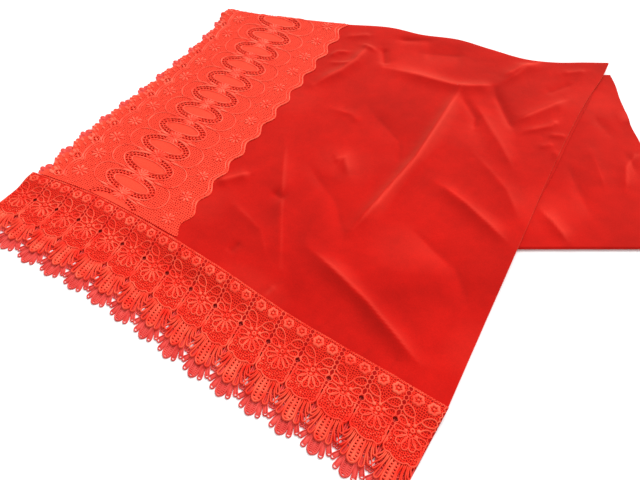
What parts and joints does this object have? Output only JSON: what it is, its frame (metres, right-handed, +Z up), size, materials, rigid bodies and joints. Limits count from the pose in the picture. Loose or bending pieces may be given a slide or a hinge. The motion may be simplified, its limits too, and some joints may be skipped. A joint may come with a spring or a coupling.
{
  "type": "evening stole",
  "caption": "Folded velvet evening stole with a flat lace edging along one side and scalloped corded lace across its ends.",
  "frame": {"origin": "centre of the folded stole's footprint, on the surface it lies on", "axes": "+Z up from the surface, +X along the longer side of the footprint, from the laced corner towards the tail"},
  "size_m": [0.8125, 0.7143, 0.0162],
  "materials": {
    "velvet": "deep red pile velvet",
    "flat_lace": "flat embroidered net lace in bright red",
    "corded_lace": "corded chemical lace in bright red"
  },
  "bodies": {
    "root": {"velvet_top": "velvet", "velvet_layers": "velvet", "velvet_tail": "velvet", "edging_top": "flat_lace", "edging_under": "flat_lace", "trim_top": "corded_lace", "trim_under": "corded_lace"}
  },
  "joints": []
}
